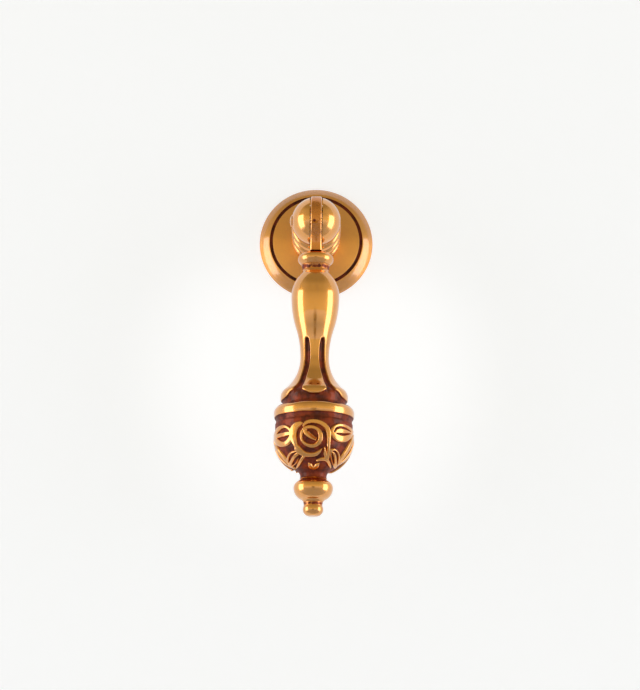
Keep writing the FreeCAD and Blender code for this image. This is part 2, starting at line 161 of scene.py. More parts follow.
def aged_brass(name, tone, roughness, mottle):
    """Lacquered brass with a dark red-brown lacquer where the mesh's patina says so. The lacquer's border is
    ragged, mottle spreads thin stains and specks over the bright metal, and fine brush marks dull it."""
    shaded_tint = (0.9, 0.9, 0.9)
    stain_tint = (0.62, 0.42, 0.3)
    thin_tint = (0.72, 0.5, 0.5)
    speck_brown = (0.10, 0.03, 0.012)
    lacquer_dark = (0.10, 0.014, 0.006)
    lacquer_red = (0.31, 0.043, 0.012)
    # Purple-grey tone for patches of painted sheen on the dark lacquer, in place of pale reflections on it.
    lacquer_sheen = (0.16, 0.045, 0.05)
    material = bpy.data.materials.new(name)
    material.use_nodes = True
    nodes, links = material.node_tree.nodes, material.node_tree.links
    surface = nodes["Principled BSDF"]
    place = nodes.new("ShaderNodeTexCoord")

    def noise(scale, detail, rough=0.55):
        """Clouds of about scale waves to the metre."""
        texture = nodes.new("ShaderNodeTexNoise")
        texture.inputs["Scale"].default_value = scale
        texture.inputs["Detail"].default_value = detail
        texture.inputs["Roughness"].default_value = rough
        links.new(place.outputs["Object"], texture.inputs["Vector"])
        return texture.outputs["Fac"]

    def ramp(source, *stops):
        """Carries source from the range of the first two stops over to that of the last two."""
        band = nodes.new("ShaderNodeMapRange")
        band.interpolation_type = "SMOOTHSTEP"
        links.new(source, band.inputs["Value"])
        for socket, value in zip(("From Min", "From Max", "To Min", "To Max"), stops):
            band.inputs[socket].default_value = value
        return band.outputs["Result"]

    def combine(kind, first, second):
        both = nodes.new("ShaderNodeMath")
        both.operation = kind
        links.new(first, both.inputs[0])
        links.new(second, both.inputs[1])
        return both.outputs[0]

    def mixed(share, first, second):
        """From the first colour to the second one as share goes from 0 to 1."""
        mix = nodes.new("ShaderNodeMix")
        mix.data_type = "RGBA"
        links.new(share, mix.inputs[0])
        for socket, source in ((mix.inputs[6], first), (mix.inputs[7], second)):
            if isinstance(source, tuple):
                socket.default_value = (*source, 1)
            else:
                links.new(source, socket)
        return mix.outputs[2]

    held = nodes.new("ShaderNodeAttribute")
    held.attribute_name = "patina"
    ragged = ramp(noise(900, 4), 0.25, 0.75, -0.2, 0.2)
    lacquer = ramp(combine("ADD", held.outputs["Fac"], ragged), 0.38, 0.62, 0, 1)
    stains = ramp(noise(260, 5, 0.62), 0.56, 0.74, 0, mottle)
    specks = ramp(noise(1500, 2), 0.72, 0.78, 0, mottle)
    metal = mixed(ramp(noise(120, 3), 0.3, 0.7, 0, 1), tone, tinted(tone, shaded_tint))
    metal = mixed(stains, metal, tinted(tone, stain_tint))
    metal = mixed(specks, metal, speck_brown)
    thin = ramp(held.outputs["Fac"], 0.15, 0.3, 0, 0.7)
    metal = mixed(thin, metal, tinted(tone, thin_tint))
    deep = mixed(ramp(noise(420, 3), 0.35, 0.65, 0, 1), lacquer_dark, lacquer_red)
    # Purple-grey patches over the dark lacquer: a painted sheen that stands in for pale reflections on it.
    deep = mixed(ramp(noise(650, 2), 0.6, 0.72, 0, 0.5), deep, lacquer_sheen)
    links.new(mixed(lacquer, metal, deep), surface.inputs["Base Color"])
    links.new(ramp(lacquer, 0, 1, 1.0, 0.6), surface.inputs["Metallic"])
    surface.inputs["Specular IOR Level"].default_value = 0.2
    brushed = ramp(noise(2600, 2), 0.3, 0.7, roughness * 0.85, roughness * 1.25)
    dull = combine("ADD", ramp(lacquer, 0, 1, 0.0, 0.25), ramp(thin, 0, 1, 0.0, 0.12))
    links.new(combine("ADD", brushed, dull), surface.inputs["Roughness"])
    gloss = combine("MULTIPLY", ramp(lacquer, 0, 1, 1.0, 0.22), ramp(thin, 0, 1, 1.0, 0.4))
    links.new(gloss, surface.inputs["Coat Weight"])
    surface.inputs["Coat IOR"].default_value = 2.05
    surface.inputs["Coat Roughness"].default_value = 0.06
    waves = nodes.new("ShaderNodeBump")
    waves.inputs["Strength"].default_value = 0.25
    waves.inputs["Distance"].default_value = 0.05 * MM
    uneven = combine("MULTIPLY", noise(520, 3), ramp(lacquer, 0, 1, 0.25, 4.0))
    links.new(uneven, waves.inputs["Height"])
    links.new(waves.outputs["Normal"], surface.inputs["Normal"])
    return material


rosette_brass = aged_brass("rosette_brass", tone=(0.93, 0.38, 0.035), roughness=0.42, mottle=0.1)
turned_marks = rosette_brass.node_tree.nodes.new("ShaderNodeTangent")
turned_marks.direction_type = "RADIAL"
turned_marks.axis = "Y"
turned_surface = rosette_brass.node_tree.nodes["Principled BSDF"]
rosette_brass.node_tree.links.new(turned_marks.outputs["Tangent"], turned_surface.inputs["Tangent"])
turned_surface.inputs["Anisotropic"].default_value = 0.9
turned_surface.inputs["Anisotropic Rotation"].default_value = 0.25
turned_surface.inputs["Coat Roughness"].default_value = 0.12

plate_wire = start_outline(plate_bore, 0)
line_to(plate_wire, boss_radius, 0)
line_to(plate_wire, boss_radius + boss_draft, dish_depth)
line_to(plate_wire, dish_radius - boss_draft, dish_depth)
line_to(plate_wire, dish_radius, 0)
line_to(plate_wire, plate_radius - plate_undercut, 0)
arc_to(plate_wire, plate_radius, plate_edge, plate_edge, wide_steps)
arc_to(plate_wire, groove_middle + groove_half, plate_face, bevel_centre, wide_steps)
line_to(plate_wire, groove_middle + groove_half, plate_face - groove_depth)
line_to(plate_wire, groove_middle - groove_half, plate_face - groove_depth)
line_to(plate_wire, groove_middle - groove_half, plate_face)
line_to(plate_wire, boss_radius, plate_thickness)
line_to(plate_wire, plate_bore, plate_thickness)
line_to(plate_wire, plate_bore, 0)
plate_skin = turned(plate_wire, plate_steps)
break_edges(plate_skin, edge_break)
plate_places = places_of(plate_skin)
from_groove = np.abs(np.hypot(plate_places[:, 0], plate_places[:, 1]) - groove_middle)
in_groove = (from_groove < groove_half + lacquer_margin) & (plate_places[:, 2] > dish_depth)
facing_out(plate_skin)
rosette = finished(plate_skin, "rosette", in_groove.astype(float))
rosette.data.materials.append(rosette_brass)
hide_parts("backplate")
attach(rosette, "fixed")

# Post and rivet: the post is turned in one piece, three beads with coves between and the ball, slotted from
# the front and drilled across for the rivet, whose low round head shows at the ball's left side.
def made_of(piece, brass):
    """Leaves the piece with this brass alone."""
    piece.data.materials.clear()
    piece.data.materials.append(brass)


post_brass = aged_brass("post_brass", tone=(0.93, 0.37, 0.032), roughness=0.18, mottle=0.25)
made_of(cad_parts["pivot_post"], post_brass)
pin_brass = aged_brass("pin_brass", tone=(0.9, 0.37, 0.05), roughness=0.25, mottle=0.3)
made_of(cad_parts["pivot_pin"], pin_brass)

# Drop, shaft: the upper part of the one brass casting, from the collar under the ball to the ring bead. It
# is turned and polished, and four flutes part its flare into four feet with dark webs between them.
pivot = Vector((0, -20.3 * MM, 0))
drop_brass = aged_brass("drop_brass", tone=(0.93, 0.37, 0.032), roughness=0.19, mottle=0.25)
collar_top = -8.1 * MM
collar_widest = -9.5 * MM
collar_neck = -12.0 * MM
belly_height = -18.9 * MM
waist_height = -33.7 * MM
toe_height = -43.4 * MM
skirt_top = -45.0 * MM
bead_height = -47.3 * MM
bead_end = -48.6 * MM
shaft_end = -48.75 * MM
plain_rows = 0.3 * MM
waist_rows = 0.2 * MM
fine_rows = 0.12 * MM
shaft_steps = 360
flute_end = -44.0 * MM
flute_full = -41.0 * MM
flute_depth = 0.7 * MM
flute_lip = 0.22 * MM
flute_slope = 0.5 * MM
toe_depth = 0.45 * MM
toe_lip = 0.25 * MM
toe_slope = 0.4 * MM
hollow_fade = 0.2 * MM
stain_fade = 0.3 * MM
collar_stain = -11.7 * MM
skirt_stain_top = -44.3 * MM
skirt_stain_end = -46.3 * MM
bead_stain_top = -48.3 * MM


def ogee_to(wire, radius, height, share, spacing):
    """Two tangent arcs to radius, height, upright at both ends; share of the way belongs to the first."""
    start = end_of(wire).co.copy()
    bend_radius = start.x + (radius - start.x) * share
    bend_height = start.z + (height - start.z) * share
    arc_to(wire, bend_radius, bend_height, start.z, spacing)
    arc_to(wire, radius, height, height, spacing)


class Skin:
    """A turned skin seen as a sheet that can be carved: each vertex's angle from the front in radians, its
    distance along the outline from the top, its radius, and how far it moves out along its normal."""

    def __init__(self, wire, steps):
        outline = np.array([vert.co for vert in wire.verts])
        self.heights = outline[:, 2]
        steps_down = np.hypot(np.diff(outline[:, 0]), np.diff(outline[:, 2]))
        self.runs = np.concatenate([[0], np.cumsum(steps_down)])
        self.skin = turned(wire, steps)
        places = places_of(self.skin)
        self.radius = np.hypot(places[:, 0], places[:, 1])
        self.angle = np.arctan2(places[:, 0], -places[:, 1])
        self.height = places[:, 2]
        self.run = self.run_at(places[:, 2])
        self.raised = np.zeros(len(places))

    def run_at(self, height):
        return np.interp(-np.asarray(height), -self.heights, self.runs)

    def depth_inside(self, path):
        """How far each vertex lies inside a line of varying width, in metres, less than nothing outside.
        The path's rows are angle from the front, height and width; the back repeats the front."""
        far_outside = -1.0
        least_radius = 1 * MM
        least_square = 1e-18
        corner_cuts = 3
        corner = 0.25
        path = np.array(path, float)
        for _ in range(corner_cuts):
            near = path[:-1] * (1 - corner) + path[1:] * corner
            far = path[:-1] * corner + path[1:] * (1 - corner)
            path = np.vstack([path[:1], np.stack([near, far], 1).reshape(-1, 3), path[-1:]])
        path[:, 1] = self.run_at(path[:, 1])
        inside = np.full(len(self.run), far_outside)
        widest = path[:, 2].max()
        for turn in (0, math.pi, -math.pi):
            across = self.angle + turn
            near_by = (self.run > path[:, 1].min() - widest) & (self.run < path[:, 1].max() + widest)
            reach = widest / np.maximum(self.radius, least_radius)
            near_by &= (across > path[:, 0].min() - reach) & (across < path[:, 0].max() + reach)
            if not near_by.any():
                continue
            radius = self.radius[near_by][:, None]
            start = path[:-1]
            end = path[1:]
            vert_across = (across[near_by][:, None] - start[:, 0]) * radius
            vert_down = self.run[near_by][:, None] - start[:, 1]
            from_start = np.stack([vert_across, vert_down], -1)
            leg_across = (end[:, 0] - start[:, 0]) * radius
            leg_down = np.broadcast_to(end[:, 1] - start[:, 1], leg_across.shape)
            leg = np.stack([leg_across, leg_down], -1)
            square = np.maximum((leg**2).sum(-1), least_square)
            along = np.clip((from_start * leg).sum(-1) / square, 0, 1)
            gap = np.linalg.norm(from_start - leg * along[..., None], axis=-1)
            width = start[:, 2] + (end[:, 2] - start[:, 2]) * along
            inside[near_by] = np.maximum(inside[near_by], (width / 2 - gap).max(1))
        return inside

    def carved(self, name, patina):
        """Moves the vertices out by raised, hangs the skin from the pivot and makes it an object."""
        self.skin.normal_update()
        for vert, lift in zip(self.skin.verts, self.raised):
            vert.co += vert.normal * lift
        bmesh.ops.translate(self.skin, verts=self.skin.verts[:], vec=pivot)
        piece = finished(self.skin, name, patina)
        piece.data.materials.append(drop_brass)
        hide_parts("drop_pendant")
        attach(piece, "pendant")


def rounded(inside, edge):
    """From 0 on a line's border to 1 where it is edge deep inside, in a quarter wave."""
    return np.sin(np.clip(inside / edge, 0, 1) * math.pi / 2)


def hollowed(inside, lip, slope):
    """From 0 at lip outside a line's border to 1 at slope inside it, rounded at both ends."""
    share = np.clip((inside + lip) / (lip + slope), 0, 1)
    return share * share * (3 - 2 * share)


def faded(distance, width=stain_fade):
    """From 0 at no distance to 1 at width."""
    return np.clip(distance / width, 0, 1)


def ringed(distance, width, most):
    """A stain that is strongest, at most, where the distance is nothing, and dies away over about width."""
    return np.exp(-((distance / width) ** 2)) * most


def line_on(points, radius=None):
    """Rows of angle, height and width in metres from rows in degrees, or in mm round the given radius."""
    scale = math.radians(1) if radius is None else MM / radius
    return [(across * scale, height * MM, width * MM) for across, height, width in points]


def mirrored(points):
    return [(-across, height, width) for across, height, width in points]


shaft_wire = start_outline(0, collar_top)
line_to(shaft_wire, 2.91 * MM, collar_top)
arc_to(shaft_wire, 4.31 * MM, collar_widest, collar_widest, plain_rows)
ogee_to(shaft_wire, 3.15 * MM, collar_neck, share=0.45, spacing=plain_rows)
ogee_to(shaft_wire, 5.75 * MM, belly_height, share=0.15, spacing=plain_rows)
ogee_to(shaft_wire, 3.42 * MM, waist_height, share=0.525, spacing=waist_rows)
ogee_to(shaft_wire, 8.02 * MM, toe_height, share=0.82, spacing=fine_rows)
arc_to(shaft_wire, 7.85 * MM, skirt_top, toe_height, fine_rows)
ogee_to(shaft_wire, 9.535 * MM, bead_height, share=0.33, spacing=fine_rows)
arc_to(shaft_wire, 9.30 * MM, bead_end, bead_height, fine_rows)
line_to(shaft_wire, 8.6 * MM, shaft_end)
line_to(shaft_wire, 0, shaft_end)
shaft = Skin(shaft_wire, shaft_steps)

flute = line_on([
    (31, -29.9, 1.0), (31, -31.0, 1.4), (31, -33.5, 1.45), (31.5, -36.5, 1.45), (32.3, -38.5, 1.45),
    (30.5, -40.2, 1.5), (29.5, -41.5, 1.8), (30.5, -42.5, 2.4), (31, -43.5, 3.0),
])
under_toes = line_on([
    (0, -45.0, 2.1), (10, -45.0, 2.3), (17, -45.0, 3.2), (24, -44.8, 3.8), (31, -44.6, 4.6),
    (38, -44.7, 4.2), (46, -44.9, 2.9), (54, -45.0, 2.0), (70, -45.1, 1.5), (90, -45.1, 1.3),
])
flutes = np.maximum(shaft.depth_inside(flute), shaft.depth_inside(mirrored(flute)))
toes = np.maximum(shaft.depth_inside(under_toes), shaft.depth_inside(mirrored(under_toes)))
flute_floor = np.interp(shaft.height, (flute_end, flute_full), (toe_depth, flute_depth))
shaft.raised -= hollowed(flutes, flute_lip, flute_slope) * flute_floor
shaft.raised = np.minimum(shaft.raised, -hollowed(toes, toe_lip, toe_slope) * toe_depth)
in_hollows = np.clip(np.maximum(flutes, toes) / hollow_fade + 0.5, 0, 1)
below_toes = faded(skirt_stain_top - shaft.height) * faded(shaft.height - skirt_stain_end)
under_collar = ringed(shaft.height - collar_stain, width=0.8 * MM, most=0.6)
under_bead = faded(bead_stain_top - shaft.height)
shaft_patina = np.maximum.reduce([in_hollows, below_toes, under_collar, under_bead])
shaft.carved("drop_shaft", shaft_patina)

# Drop, urn: the part of the casting with the carving. Rose, petals and leaves stand out of a ground that is
# left dark, and the polished tops are bright. The carving is made once for the front; the back repeats it.
cove_height = -49.55 * MM
shoulder_height = -50.15 * MM
urn_widest = -53.5 * MM
urn_end = -62.5 * MM
carved_rows = 0.1 * MM
urn_steps = 576
urn_wire = start_outline(0, bead_end)
line_to(urn_wire, 9.12 * MM, bead_end)
arc_to(urn_wire, 8.98 * MM, cove_height, cove_height, carved_rows)
ogee_to(urn_wire, 9.16 * MM, shoulder_height, share=0.5, spacing=carved_rows)
ogee_to(urn_wire, 8.98 * MM, urn_widest, share=0.5, spacing=carved_rows)
ogee_to(urn_wire, 3.1 * MM, urn_end, share=0.82, spacing=carved_rows)
line_to(urn_wire, 0, urn_end)
urn = Skin(urn_wire, urn_steps)
carving_radius = 9.5 * MM
rose = [
    [(-2.5, -52.8, .9), (-1.4, -52.25, 1.0), (.1, -52.4, 1.0), (1.2, -53.0, 1.1), (1.75, -54.2, 1.25),
     (1.65, -55.5, 1.2), (.6, -56.55, 1.05), (-.8, -56.65, 1.0), (-2.1, -56.25, .9), (-3.0, -55.4, .75),
     (-3.2, -54.3, .7), (-2.8, -53.2, .8)],
    [(-2.2, -52.9, .9), (-2.0, -53.7, 1.1), (-1.4, -54.3, .95), (-.5, -54.95, .7), (.5, -55.3, .5)],
    [(-1.3, -53.45, .4), (-.6, -54.05, .45), (.1, -54.6, .4), (.7, -54.95, .3)],
    [(-3.2, -51.4, 1.0), (-4.2, -51.75, 1.6), (-5.0, -52.45, 2.0), (-5.4, -53.4, 2.1), (-5.35, -54.5, 1.9),
     (-5.05, -55.5, 1.5), (-4.8, -56.3, 1.1), (-4.4, -56.9, 1.3)],
    [(-2.5, -52.0, .6), (-2.1, -51.4, .9), (-1.1, -51.0, 1.0), (.2, -50.95, 1.05), (1.5, -51.2, 1.1),
     (2.6, -51.8, 1.2), (3.35, -52.55, 1.3), (3.75, -53.6, 1.25), (3.8, -54.8, 1.1), (3.9, -56.0, .9),
     (4.15, -57.2, .8), (4.4, -58.3, .9), (4.6, -59.0, .9)],
    [(-4.4, -57.1, 1.8), (-3.8, -57.75, 1.7), (-2.7, -58.3, 1.3), (-1.2, -58.5, 1.15), (.3, -58.45, 1.1),
     (1.4, -58.0, .95), (2.2, -57.2, .4)],
    [(3.0, -56.9, .45), (3.2, -57.6, .75), (3.6, -58.4, .9), (4.2, -59.0, .9)],
]
stems = [
    [(1.3, -59.6, .5), (2.6, -59.25, .9), (4.2, -59.2, 1.0), (5.6, -59.7, 1.0), (7.0, -60.2, .9),
     (8.6, -60.5, .6)],
    [(-3.0, -58.7, .8), (-4.2, -59.4, 1.0), (-5.6, -60.0, .9), (-7.2, -60.4, .8), (-9.0, -60.6, .5)],
]
leaves = [
    [(-6.2, -53.8, 1.2), (-7.0, -53.85, 3.7), (-8.0, -53.85, 5.1), (-9.3, -53.75, 5.2), (-10.8, -53.6, 4.5),
     (-12.2, -53.5, 3.4), (-13.6, -53.4, 2.0), (-14.6, -53.3, .6)],
    [(-4.6, -57.8, .7), (-5.6, -58.15, 1.9), (-6.8, -58.7, 2.8), (-8.0, -59.15, 2.9), (-9.2, -59.5, 2.4),
     (-10.6, -59.8, 1.7), (-12.0, -60.0, .8)],
    [(-14.6, -54.9, .6), (-13.8, -56.0, 2.4), (-12.9, -57.2, 3.3), (-12.1, -58.4, 3.3), (-11.4, -59.5, 2.4),
     (-10.9, -60.2, 1.2), (-10.5, -60.7, .5)],
    [(4.8, -53.2, .8), (5.6, -53.2, 3.2), (6.8, -53.2, 4.5), (8.2, -53.1, 4.4), (9.8, -52.8, 3.5),
     (11.2, -52.4, 2.4), (12.7, -52.0, 1.2), (13.6, -51.7, .4)],
    [(14.8, -52.4, .6), (14.2, -53.4, 2.6), (13.5, -54.6, 3.7), (12.8, -55.9, 4.2), (12.0, -57.1, 4.0),
     (11.2, -58.3, 3.2), (10.5, -59.3, 2.1), (9.9, -60.0, .8)],
    [(5.0, -57.3, .8), (5.8, -57.6, 1.9), (6.8, -58.2, 2.5), (7.9, -58.9, 2.4), (9.1, -59.55, 1.8),
     (10.5, -60.05, 1.1), (11.8, -60.3, .6)],
]
calyx = [
    [(-1.8, -60.15, .5), (-1.4, -60.5, 1.2), (-.8, -60.85, 1.3), (0, -60.95, 1.0), (.8, -60.85, 1.3),
     (1.5, -60.5, 1.2), (2.0, -60.15, .5)],
]
leaf_slots = [
    [(-6.4, -53.05, .3), (-7.3, -52.6, .95), (-8.3, -52.55, 1.15), (-9.4, -52.65, .95), (-11.0, -52.9, .3)],
    [(-6.4, -54.1, .35), (-7.4, -54.5, 1.1), (-8.4, -54.65, 1.2), (-9.4, -54.45, .95), (-10.8, -54.1, .3)],
    [(-4.9, -57.75, .2), (-6.2, -58.0, .6), (-7.4, -58.45, .7), (-8.6, -58.95, .6), (-10.0, -59.4, .2)],
    [(-4.3, -58.45, .3), (-5.6, -58.95, .65), (-6.8, -59.45, .65), (-8.2, -59.8, .55), (-9.8, -60.0, .2)],
    [(-13.6, -56.3, .3), (-12.8, -57.4, .9), (-12.0, -58.6, .85), (-11.3, -59.7, .3)],
    [(5.1, -53.2, .3), (5.5, -52.35, .55), (6.5, -51.9, .6), (8.0, -51.85, .6), (9.5, -52.0, .5),
     (11.2, -52.2, .2)],
    [(5.7, -53.5, .25), (6.8, -53.55, .6), (8.2, -53.45, .6), (9.5, -53.1, .5), (11.1, -52.7, .2)],
    [(14.0, -53.6, .25), (13.3, -54.9, .8), (12.4, -56.4, 1.0), (11.6, -57.7, .85), (10.9, -58.8, .3)],
    [(5.3, -57.4, .2), (6.0, -57.4, .5), (6.9, -57.75, .6), (7.8, -58.4, .6), (8.8, -59.1, .5),
     (10.0, -59.7, .2)],
    [(5.3, -57.8, .25), (5.9, -58.4, .6), (6.8, -59.1, .55), (8.0, -59.7, .3)],
]
relief = 0.56 * MM
ridge_swell = 0.05 * MM
flank_width = 0.32 * MM
flank_share = 0.8
crown_width = 1.2 * MM
crown_share = 0.2
slot_lip = 0.08 * MM
slot_slope = 0.2 * MM
slot_share = 0.9
ground_edge = 0.1
ground_fade = 0.3


def depth_in_lines(lines):
    return np.maximum.reduce([urn.depth_inside(line_on(line, carving_radius)) for line in lines])


on_ridges = depth_in_lines(rose + stems + leaves + calyx) + ridge_swell
crown = flank_share * rounded(on_ridges, flank_width) + crown_share * rounded(on_ridges, crown_width)
in_slots = hollowed(depth_in_lines(leaf_slots), slot_lip, slot_slope)
urn_patina = np.maximum(1 - faded(crown - ground_edge, ground_fade), in_slots)
urn.raised = np.minimum(crown * (1 - slot_share * in_slots) * relief, carving_radius - urn.radius)
urn.carved("drop_urn", urn_patina)

# Drop, finial: the lower end of the casting, a turned knob with a tip button. Lacquer stays in the neck
# under the urn and in the one above the button.
finial_top = -61.5 * MM
knob_height = -65.1 * MM
tip_neck = -69.0 * MM
tip_height = -70.2 * MM
tip_end = -71.79 * MM
finial_rows = 0.15 * MM
finial_steps = 240
neck_stain_end = -63.4 * MM
tip_stain = -68.9 * MM
finial_wire = start_outline(0, finial_top)
line_to(finial_wire, 3.05 * MM, finial_top)
arc_to(finial_wire, 3.1 * MM, urn_end, urn_end, plain_rows)
ogee_to(finial_wire, 4.67 * MM, knob_height, share=0.4, spacing=finial_rows)
ogee_to(finial_wire, 2.2 * MM, tip_neck, share=0.7, spacing=finial_rows)
ogee_to(finial_wire, 2.42 * MM, tip_height, share=0.5, spacing=finial_rows)
arc_to(finial_wire, 0.75 * MM, tip_end, tip_height, finial_rows)
line_to(finial_wire, 0, tip_end)
finial = Skin(finial_wire, finial_steps)
in_neck = faded(finial.height - neck_stain_end, width=0.8 * MM)
over_tip = ringed(finial.height - tip_stain, width=0.5 * MM, most=0.62)
finial.carved("drop_finial", np.maximum(in_neck, over_tip))

# Drop, tang: the flat tongue in the ball's slot, cast with the collar, its edges broken, and bored for the
# rivet. Its rim is a little stained, with one dark speck in front, just below the middle.
edge_round = 0.2 * MM
front_depth = 5 * MM
speck = Vector((-0.35 * MM, 0, -1.41 * MM))
speck_radius = 0.25 * MM
speck_reach = 0.6 * MM
speck_cuts = 9
speck_stain = 0.6
rim_stain = 0.3
tang_skin = bmesh.new()
tang_skin.from_mesh(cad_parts["drop_pendant"].data)
bmesh.ops.remove_doubles(tang_skin, verts=tang_skin.verts[:], dist=weld_distance)
bmesh.ops.bisect_plane(
    tang_skin, geom=tang_skin.verts[:] + tang_skin.edges[:] + tang_skin.faces[:],
    plane_co=(0, 0, collar_top), plane_no=(0, 0, -1), clear_outer=True,
)
tang_foot = [edge for edge in tang_skin.edges if edge.is_boundary]
bmesh.ops.holes_fill(tang_skin, edges=tang_foot)
tang_half = max(vert.co.x for vert in tang_skin.verts if vert.co.z > 0)
for axis in (0, 2):
    for share in np.linspace(-1, 1, speck_cuts):
        front = [face for face in tang_skin.faces if face.calc_center_median().y < pivot.y - front_depth]
        front_verts = {vert for face in front for vert in face.verts}
        front_edges = {edge for face in front for edge in face.edges}
        cut_place = speck.copy()
        cut_place[axis] += share * speck_reach
        bmesh.ops.bisect_plane(
            tang_skin, geom=[*front_verts, *front_edges, *front],
            plane_co=cut_place, plane_no=[axis == 0, 0, axis == 2],
        )
tang_places = places_of(tang_skin)
on_rim = np.abs(tang_places[:, 0]) < tang_half - edge_round
in_front = tang_places[:, 1] < pivot.y - front_depth
from_speck = np.hypot(tang_places[:, 0] - speck.x, tang_places[:, 2] - speck.z)
tang_patina = rim_stain * on_rim + in_front * ringed(from_speck, speck_radius, speck_stain)
tang = finished(tang_skin, "drop_tang", tang_patina)
made_of(tang, drop_brass)
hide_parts("drop_pendant")
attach(tang, "pendant")

# Stage: a white front that the pull hangs on, seen through from behind, and a pale floor below it. The front
# has a painted glow that is a little brighter round the pull, as in the photo, and the pull's soft shadow
# falls on it. The floor's glow is painted light for the metal to mirror, dim under the pull and brighter far
# off.
wall_y = 0.3 * MM
wall_half = 2
floor_z = -0.30
floor_half = 3
pull_middle = (0, 0, -0.034)
# Share of the stage's painted glow that glossy rays see: a dimmer painted reflection of the front and floor.
mirrored_share = 0.8


def sheet_mesh(name, half_width, turn, centre):
    """A square sheet that looks up, or where turn, an angle about the x axis, tips it."""
    sheet = bmesh.new()
    bmesh.ops.create_grid(sheet, x_segments=1, y_segments=1, size=half_width)
    bmesh.ops.rotate(sheet, verts=sheet.verts[:], matrix=Matrix.Rotation(turn, 3, "X"))
    bmesh.ops.translate(sheet, verts=sheet.verts[:], vec=centre)
    mesh = bpy.data.meshes.new(name)
    sheet.to_mesh(mesh)
    sheet.free()
    return mesh


def distance_from(point, nodes, links):
    """Adds the distance of the shaded place from point to a material, in metres."""
    place = nodes.new("ShaderNodeTexCoord")
    distance = nodes.new("ShaderNodeVectorMath")
    distance.operation = "DISTANCE"
    distance.inputs[1].default_value = point
    links.new(place.outputs["Object"], distance.inputs[0])
    return distance.outputs["Value"]


def set_stops(ramp, stops):
    """Gives a colour ramp its stops, rows of position from 0 to 1 and colour."""
    while len(ramp.elements) < len(stops):
        ramp.elements.new(0.5)
    for element, (position, colour) in zip(ramp.elements, stops):
        element.position = position
        element.color = (*colour, 1)


def stage_sheet(mesh, glows):
    """Makes the mesh a white sheet that the lamps light a little and its own painted glow the rest of the
    way; glossy rays see that glow dimmed to mirrored_share, a painted reflection. glows gives that glow at
    distances from the pull's middle. All other light finds a plain white sheet."""
    seen_white = (0.4, 0.43, 0.58, 1)
    plain_white = (0.8, 0.8, 0.79, 1)
    material = bpy.data.materials.new(mesh.name)
    material.use_nodes = True
    nodes, links = material.node_tree.nodes, material.node_tree.links
    nodes.clear()
    output = nodes.new("ShaderNodeOutputMaterial")
    reach = glows[-1][0]
    within_reach = nodes.new("ShaderNodeMath")
    within_reach.operation = "DIVIDE"
    within_reach.inputs[1].default_value = reach
    links.new(distance_from(pull_middle, nodes, links), within_reach.inputs[0])
    halo = nodes.new("ShaderNodeValToRGB")
    halo.color_ramp.interpolation = "EASE"
    set_stops(halo.color_ramp, [(distance / reach, (level,) * 3) for distance, level in glows])
    links.new(within_reach.outputs[0], halo.inputs["Fac"])
    ray = nodes.new("ShaderNodeLightPath")
    glow_share = nodes.new("ShaderNodeMapRange")
    glow_share.inputs["To Min"].default_value = 1.0
    glow_share.inputs["To Max"].default_value = mirrored_share
    links.new(ray.outputs["Is Glossy Ray"], glow_share.inputs["Value"])
    glow = nodes.new("ShaderNodeEmission")
    links.new(halo.outputs["Color"], glow.inputs["Color"])
    links.new(glow_share.outputs["Result"], glow.inputs["Strength"])
    shaded = nodes.new("ShaderNodeBsdfDiffuse")
    shaded.inputs["Color"].default_value = seen_white
    seen = nodes.new("ShaderNodeAddShader")
    links.new(glow.outputs[0], seen.inputs[0])
    links.new(shaded.outputs[0], seen.inputs[1])
    lit = nodes.new("ShaderNodeBsdfDiffuse")
    lit.inputs["Color"].default_value = plain_white
    to_the_eye = nodes.new("ShaderNodeMath")
    to_the_eye.operation = "MAXIMUM"
    links.new(ray.outputs["Is Camera Ray"], to_the_eye.inputs[0])
    links.new(ray.outputs["Is Glossy Ray"], to_the_eye.inputs[1])
    front = nodes.new("ShaderNodeMixShader")
    links.new(to_the_eye.outputs[0], front.inputs[0])
    links.new(lit.outputs[0], front.inputs[1])
    links.new(seen.outputs[0], front.inputs[2])
    side = nodes.new("ShaderNodeNewGeometry")
    clear = nodes.new("ShaderNodeBsdfTransparent")
    either_side = nodes.new("ShaderNodeMixShader")
    links.new(side.outputs["Backfacing"], either_side.inputs[0])
    links.new(front.outputs[0], either_side.inputs[1])
    links.new(clear.outputs[0], either_side.inputs[2])
    links.new(either_side.outputs[0], output.inputs["Surface"])
    mesh.materials.append(material)
    sheet = bpy.data.objects.new(mesh.name, mesh)
    bpy.context.scene.collection.objects.link(sheet)


drawer_front = sheet_mesh("drawer_front", wall_half, math.radians(90), (0, wall_y, wall_half + floor_z))
# The front's painted glow is a little brighter close round the pull.
stage_sheet(drawer_front, [(0, 0.74), (0.022, 0.74), (0.052, 0.665)])
floor = sheet_mesh("floor", floor_half, 0, (0, 0, floor_z))
# The floor's painted glow is for the metal to mirror: dim under the pull, brighter far off.
stage_sheet(floor, [(0, 0.2), (0.5, 0.2), (1.1, 0.55), (2.0, 0.8)])

# Camera shade: a dim upright sheet with a soft edge, just behind the lens, in place of the dark camera that
# the polished metal mirrors. Only glossy rays see it, so it is a painted dark reflection; no other ray meets
# it.
shade_reach = 0.15
shade_place = Vector((0, -0.64, -0.185))
shade_dark = (0.22, 0.19, 0.15, 1)
shade_roughness = 0.8
shade_mesh = sheet_mesh("camera_shade", shade_reach, math.radians(-90), shade_place)
shade_material = bpy.data.materials.new("camera_shade")
shade_material.use_nodes = True
shade_nodes, shade_links = shade_material.node_tree.nodes, shade_material.node_tree.links
shade_surface = shade_nodes["Principled BSDF"]
shade_surface.inputs["Base Color"].default_value = shade_dark
shade_surface.inputs["Roughness"].default_value = shade_roughness
soft_edge = shade_nodes.new("ShaderNodeMapRange")
soft_edge.interpolation_type = "SMOOTHSTEP"
soft_edge.inputs["From Min"].default_value = shade_reach
soft_edge.inputs["From Max"].default_value = 0
